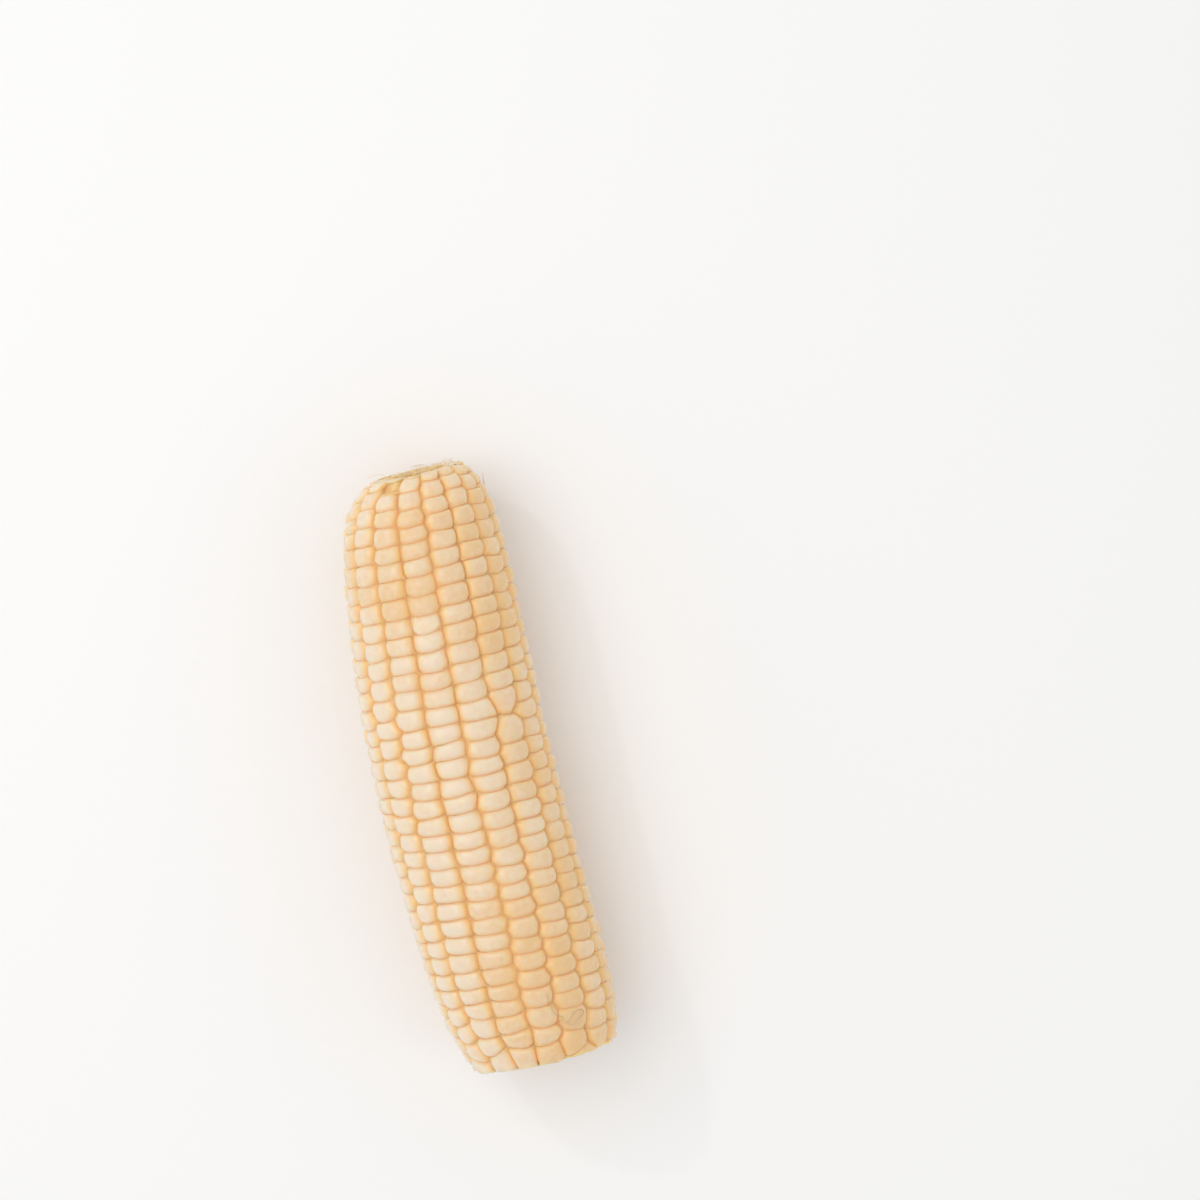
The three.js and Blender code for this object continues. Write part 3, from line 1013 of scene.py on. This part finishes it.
def cooked_silk(look):
    """Corn silk after cooking: thin, limp and brown, paler where it is stretched."""
    material, add = new_material("cooked_silk")
    place = add("TexCoord", output="Object")
    streak = add("TexNoise", {"Vector": place, "Scale": lumps(SILK_STREAKS), "Detail": 2.0})
    colour = add("ValToRGB", {"Fac": streak}, ((0.35, look.silk_brown), (0.65, look.silk_pale)))
    shader = add("BsdfPrincipled", {
        "Base Color": colour, "Roughness": 0.45, "IOR": 1.45,
        "Subsurface Weight": 0.3, "Subsurface Radius": (1.0, 0.6, 0.3), "Subsurface Scale": 0.0004,
    })
    add("OutputMaterial", {"Surface": shader})
    return material


def matt_white_board(stage):
    """A painted board: plain, matt and nearly white."""
    material, add = new_material("matt_white_board")
    place = add("TexCoord", output="Object")
    grain = add("TexNoise", {"Vector": place, "Scale": lumps(BOARD_PAINT), "Detail": 2.0})
    rough = add("MapRange", (grain, 0.0, 1.0, 0.8, 0.9))
    shader = add("BsdfPrincipled", {"Base Color": stage.floor, "Roughness": rough})
    add("OutputMaterial", {"Surface": shader})
    return material


# ---- The pieces ----


def add_object(name, data):
    """Adds an object and makes it the active one, selected alone."""
    obj = bpy.data.objects.new(name, data)
    bpy.context.collection.objects.link(obj)
    bpy.ops.object.select_all(action="DESELECT")
    bpy.context.view_layer.objects.active = obj
    obj.select_set(True)
    return obj


def finish_piece(obj, *materials):
    """Smooths the selected piece, gives it its materials and makes it ride on the ear's body."""
    bpy.ops.object.shade_smooth()
    for material in materials:
        obj.data.materials.append(material)
    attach(obj, "root")


class CORN_OT_ear(Operator):
    """Grow the ear: its kernels, both cut faces and the flat spot that it rests on"""

    bl_idname = "corn.ear"
    bl_label = "Ear"

    def execute(self, context):
        scene = context.scene
        mesh = grown_ear(Sizes(scene.corn_kernels))
        ear = add_object(EAR_PIECE, mesh)
        lean = math.radians(TIP_CUT_TILT)
        tip = (centre_line(EAR_LENGTH), EAR_LENGTH, 0.0)
        cut_off(ear, (centre_line(0.0), 0.0, 0.0), (0.0, -1.0, 0.0), BUTT_ZONES)
        cut_off(ear, tip, (0.0, math.cos(lean), math.sin(lean)), TIP_ZONES)
        lay_down(mesh)
        finish_piece(ear, waxy_pericarp(scene.corn_kernels), sawn_cob(scene.corn_cuts))
        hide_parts(EAR_NODE)
        return {"FINISHED"}


class CORN_OT_silk(Operator):
    """Lay the loose threads of silk on the ear, and the fine hairs on the tip's cut"""

    bl_idname = "corn.silk"
    bl_label = "Silk"

    def execute(self, context):
        look = context.scene.corn_silk
        ear = bpy.data.objects[EAR_PIECE].data
        skin = BVHTree.FromPolygons([v.co for v in ear.vertices], [p.vertices for p in ear.polygons])
        draw = make_random(SILK_SEED)
        threads = [thread_on_ear(skin, places, CURL_TENSION) for places in SILK_CURL]
        threads += [
            thread_on_ear(skin, groove_places(draw, *groove), GROOVE_TENSION) for groove in SILK_IN_GROOVES
        ]
        hairs = [fringe_hair(draw, look.hair_length / MM) for _ in range(FRINGE_COUNT)]
        curve = bpy.data.curves.new("silk_threads", "CURVE")
        curve.dimensions, curve.use_fill_caps = "3D", True
        curve.bevel_depth, curve.bevel_resolution = look.thread / 2, 1
        add_threads(curve, threads, 1.0)
        add_threads(curve, hairs, look.hair / look.thread)
        silk = add_object("silk_threads", curve)
        bpy.ops.object.convert(target="MESH")
        bpy.ops.object.mode_set(mode="EDIT")
        bpy.ops.mesh.select_all(action="SELECT")
        bpy.ops.mesh.remove_doubles(threshold=THREAD_SEAM)
        bpy.ops.mesh.normals_make_consistent(inside=False)
        bpy.ops.object.mode_set(mode="OBJECT")
        finish_piece(silk, cooked_silk(look))
        return {"FINISHED"}


# ---- The stage ----

FRAME_WIDTH = 0.3248  # what the frame spans at the ear's middle height
EAR_IN_FRAME = (-0.0363, -0.0453)  # the ear's middle, right and up of the frame's middle
ROLL = math.radians(12.81)
CAMERA_TILT = math.radians(4.0)
CAMERA_DISTANCE = 1.08
CAMERA_SENSOR = 36.0
EAR_MIDDLE = Vector((0.0, 0.0, 0.024))
FLOOR_WIDTH = 6.0
WHITE = (1.0, 1.0, 1.0)
LIGHTS = (  # name, place, width, share of the key light's power, colour
    ("key", (-0.38, 0.3, 0.98), 0.9, 1.0, (1.0, 0.98, 0.95)),
    ("fill", (0.7, -0.3, 0.8), 0.6, 0.12, WHITE),
    ("glint", (-0.45, 0.7, 0.8), 0.06, 0.2, WHITE),
)


def area_light(name, place, width, power, tint):
    """A round soft light that faces the ear."""
    light = bpy.data.lights.new(name, "AREA")
    light.shape, light.size, light.energy, light.color = "DISK", width, power, tint
    obj = add_object(name, light)
    obj.location = place
    obj.rotation_euler = (-Vector(place)).to_track_quat("-Z", "Y").to_euler()


class CORN_OT_stage(Operator):
    """Adds the floor, the soft light and the camera"""

    bl_idname = "corn.stage"
    bl_label = "Stage"

    def execute(self, context):
        stage = context.scene.corn_stage
        bpy.ops.mesh.primitive_plane_add(size=FLOOR_WIDTH, location=(0, 0, 0))
        floor = context.active_object
        floor.name = "floor"
        floor.data.materials.append(matt_white_board(stage))

        world = bpy.data.worlds.new("soft_room")
        world.use_nodes = True
        background = world.node_tree.nodes["Background"].inputs
        background["Color"].default_value = (*WHITE, 1.0)
        background["Strength"].default_value = stage.room_light
        context.scene.world = world
        for name, place, width, share, tint in LIGHTS:
            area_light(name, place, width, stage.key_power * share, tint)

        right = Vector((math.cos(ROLL), -math.sin(ROLL), 0.0))
        up = Vector((math.sin(ROLL), math.cos(ROLL), 0.0))
        aim = EAR_MIDDLE - right * EAR_IN_FRAME[0] - up * EAR_IN_FRAME[1]
        back = (Vector((0, 0, 1)) * math.cos(CAMERA_TILT) + up * math.sin(CAMERA_TILT)).normalized()
        data = bpy.data.cameras.new("camera")
        data.sensor_width = CAMERA_SENSOR
        data.lens = CAMERA_SENSOR * CAMERA_DISTANCE / FRAME_WIDTH
        camera = add_object("camera", data)
        true_up = back.cross(right)
        turn = Matrix((right, true_up, back)).transposed().to_4x4()
        camera.matrix_world = Matrix.Translation(aim + back * CAMERA_DISTANCE) @ turn
        context.scene.camera = camera
        context.scene.view_settings.view_transform = "Standard"
        return {"FINISHED"}


class CORN_PT_panel(Panel):
    """Buttons for the ear, its silk and the stage"""

    bl_idname = "CORN_PT_panel"
    bl_label = "Corn cob"
    bl_space_type = "VIEW_3D"
    bl_region_type = "UI"
    bl_category = "Corn"

    def draw(self, context):
        for operator in (CORN_OT_ear, CORN_OT_silk, CORN_OT_stage):
            self.layout.operator(operator.bl_idname)


GROUPS = {
    "corn_kernels": CORN_PG_kernels,
    "corn_cuts": CORN_PG_cuts,
    "corn_silk": CORN_PG_silk,
    "corn_stage": CORN_PG_stage,
}
CLASSES = (*GROUPS.values(), CORN_OT_ear, CORN_OT_silk, CORN_OT_stage, CORN_PT_panel)


def register():
    for cls in CLASSES:
        bpy.utils.register_class(cls)
    for name, group in GROUPS.items():
        setattr(bpy.types.Scene, name, PointerProperty(type=group))


def unregister():
    for name in GROUPS:
        delattr(bpy.types.Scene, name)
    for cls in reversed(CLASSES):
        bpy.utils.unregister_class(cls)


def main():
    """Grows the ear, lays its silk and sets the stage."""
    register()
    bpy.ops.corn.ear()
    bpy.ops.corn.silk()
    bpy.ops.corn.stage()


if __name__ == "__main__":
    main()
